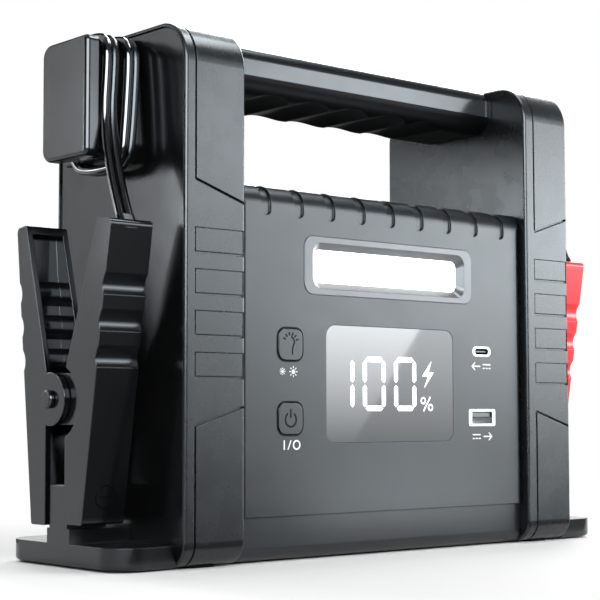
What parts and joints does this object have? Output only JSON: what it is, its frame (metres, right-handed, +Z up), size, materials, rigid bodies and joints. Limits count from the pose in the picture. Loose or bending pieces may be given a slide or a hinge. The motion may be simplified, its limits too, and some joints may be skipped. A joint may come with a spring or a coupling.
{
  "type": "jump starter pack",
  "caption": "Portable jump starter pack with two tall end pillars, a carrying handle, work lamp, display, side hooks for the leads and a spring clamp clipped to a stand at each end.",
  "frame": {"origin": "on the floor, below the middle of the pack", "axes": "+X to the right as seen from the front, +Y from the front to the back, +Z up; the controls and the lamp face -Y"},
  "size_m": [0.267, 0.086, 0.2006],
  "materials": {
    "charcoal_shell": "satin moulded charcoal plastic with a fine grain",
    "charcoal_trim": "satin moulded dark plastic",
    "gloss_black": "smooth glossy black plastic",
    "soft_black": "soft black moulded rubber",
    "bright_steel": "plated steel",
    "button_black": "satin black button cap",
    "display_glass": "dark tinted gloss window",
    "lamp_diffuser": "milky translucent lens",
    "white_reflector": "white reflector",
    "led_chip": "pale yellow chip",
    "circuit_board": "green solder mask",
    "dark_inner_plastic": "plain dark grey plastic",
    "cell_foil": "aluminium pouch foil",
    "copper": "plain copper",
    "lead_black": "glossy black cable jacket",
    "clamp_black": "semi-gloss black moulded clamp",
    "clamp_red": "semi-gloss red moulded clamp"
  },
  "bodies": {
    "housing": {"battery_cells": "cell_foil", "battery_tray": "dark_inner_plastic", "board_screws": "bright_steel", "busbars": "copper", "button_switches": "dark_inner_plastic", "clamp_grommets": "clamp_black", "clamp_pins": "bright_steel", "control_board": "circuit_board", "cover_screws": "bright_steel", "display_module": "dark_inner_plastic", "display_window": "display_glass", "front_cover": "charcoal_shell", "handle_bar": "gloss_black", "handle_brackets": "bright_steel", "handle_core": "bright_steel", "handle_grip": "soft_black", "handle_screws": "bright_steel", "hook_screws": "bright_steel", "lamp_bezel": "gloss_black", "lamp_board": "circuit_board", "lamp_leds": "led_chip", "lamp_lens": "lamp_diffuser", "lamp_reflector": "white_reflector", "left_clamp_front_arm": "clamp_black", "left_clamp_spring": "bright_steel", "left_clamp_stand": "charcoal_trim", "left_front_contact": "copper", "left_hook_cap": "charcoal_trim", "left_hook_neck": "charcoal_trim", "left_lead_gland": "charcoal_trim", "left_lead_inner": "lead_black", "left_lead_outer": "lead_black", "left_pillar": "charcoal_shell", "left_side_panel": "charcoal_shell", "pillar_screws": "bright_steel", "power_relay": "dark_inner_plastic", "rear_cover": "charcoal_shell", "right_clamp_front_arm": "clamp_red", "right_clamp_spring": "bright_steel", "right_clamp_stand": "charcoal_trim", "right_front_contact": "copper", "right_hook_cap": "charcoal_trim", "right_hook_neck": "charcoal_trim", "right_lead_gland": "charcoal_trim", "right_lead_inner": "lead_black", "right_lead_outer": "lead_black", "right_pillar": "charcoal_shell", "right_side_panel": "charcoal_shell", "rubber_feet": "soft_black", "stand_screws": "bright_steel", "usb_a_port": "bright_steel", "usb_a_tongue": "dark_inner_plastic", "usb_c_port": "bright_steel", "usb_c_tongue": "dark_inner_plastic"},
    "light_button": {"light_button": "button_black"},
    "power_button": {"power_button": "button_black"},
    "left_jaw": {"left_clamp_back_arm": "clamp_black", "left_back_contact": "copper"},
    "right_jaw": {"right_clamp_back_arm": "clamp_red", "right_back_contact": "copper"}
  },
  "joints": [
    {"name": "light_button_press", "type": "slide", "parent": "housing", "child": "light_button", "axis": [0, 1, 0], "range_m": [0, 0.0008], "stiffness_N_per_m": 500, "springref_m": -0.002},
    {"name": "power_button_press", "type": "slide", "parent": "housing", "child": "power_button", "axis": [0, 1, 0], "range_m": [0, 0.0008], "stiffness_N_per_m": 500, "springref_m": -0.002},
    {"name": "left_clamp_squeeze", "type": "hinge", "parent": "housing", "child": "left_jaw", "pos_m": [-0.12405, 0.0044, 0.0613], "axis": [1, 0, 0], "range_deg": [0, 28], "stiffness_Nm_per_rad": 0.6, "springref_deg": -28.65},
    {"name": "right_clamp_squeeze", "type": "hinge", "parent": "housing", "child": "right_jaw", "pos_m": [0.11905, 0.0044, 0.0613], "axis": [1, 0, 0], "range_deg": [0, 28], "stiffness_Nm_per_rad": 0.6, "springref_deg": -28.65}
  ]
}
